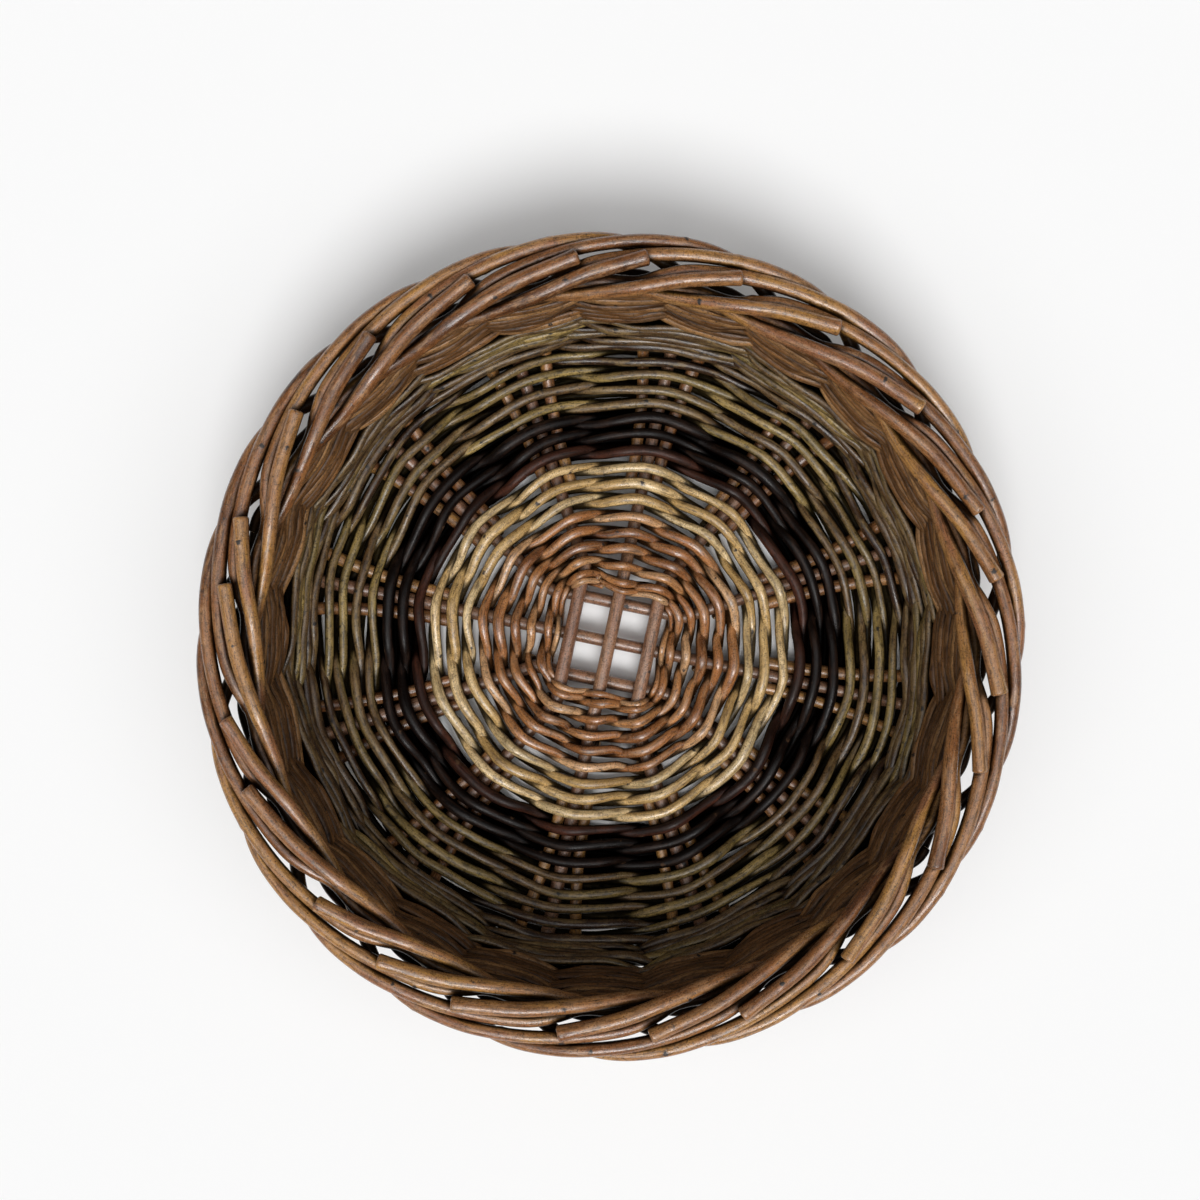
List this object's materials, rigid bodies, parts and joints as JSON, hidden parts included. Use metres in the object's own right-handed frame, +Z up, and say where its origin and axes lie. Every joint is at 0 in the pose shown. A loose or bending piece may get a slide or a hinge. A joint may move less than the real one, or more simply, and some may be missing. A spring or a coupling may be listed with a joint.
{
  "type": "potato basket",
  "caption": "Shallow round woven willow basket with an open grid of sticks in its base, bands of coloured weave and a thick rolled border, for draining and serving potatoes.",
  "frame": {"origin": "on the floor under the middle of the basket", "axes": "+Z up out of the basket, +Y towards the top of the picture, +X towards its right"},
  "size_m": [0.4212, 0.4212, 0.1039],
  "materials": {
    "stick_bark": "satin willow bark",
    "stake_bark": "satin willow bark",
    "brown_bark": "satin willow bark",
    "straw_bark": "satin willow bark",
    "dark_bark": "satin willow bark",
    "olive_bark": "satin willow bark",
    "upper_bark": "satin willow bark"
  },
  "bodies": {
    "root": {"lower_stick_1": "stick_bark", "lower_stick_2": "stick_bark", "lower_stick_3": "stick_bark", "upper_stick_1": "stick_bark", "upper_stick_2": "stick_bark", "upper_stick_3": "stick_bark", "stake_1": "stake_bark", "stake_2": "stake_bark", "stake_3": "stake_bark", "stake_4": "stake_bark", "stake_5": "stake_bark", "stake_6": "stake_bark", "stake_7": "stake_bark", "stake_8": "stake_bark", "stake_9": "stake_bark", "stake_10": "stake_bark", "stake_11": "stake_bark", "stake_12": "stake_bark", "stake_13": "stake_bark", "stake_14": "stake_bark", "stake_15": "stake_bark", "stake_16": "stake_bark", "stake_17": "stake_bark", "stake_18": "stake_bark", "stake_19": "stake_bark", "stake_20": "stake_bark", "stake_21": "stake_bark", "stake_22": "stake_bark", "stake_23": "stake_bark", "stake_24": "stake_bark", "brown_row_1": "brown_bark", "brown_row_2": "brown_bark", "brown_row_3": "brown_bark", "brown_row_4": "brown_bark", "brown_row_5": "brown_bark", "straw_row_1": "straw_bark", "straw_row_2": "straw_bark", "straw_row_3": "straw_bark", "dark_row_1": "dark_bark", "dark_row_2": "dark_bark", "dark_row_3": "dark_bark", "olive_row_1": "olive_bark", "olive_row_2": "olive_bark", "olive_row_3": "olive_bark", "olive_row_4": "olive_bark", "olive_row_5": "olive_bark", "olive_row_6": "olive_bark", "olive_row_7": "olive_bark", "upper_row_1": "upper_bark", "upper_row_2": "upper_bark", "upper_row_3": "upper_bark", "upper_row_4": "upper_bark", "upper_row_5": "upper_bark"}
  },
  "joints": []
}
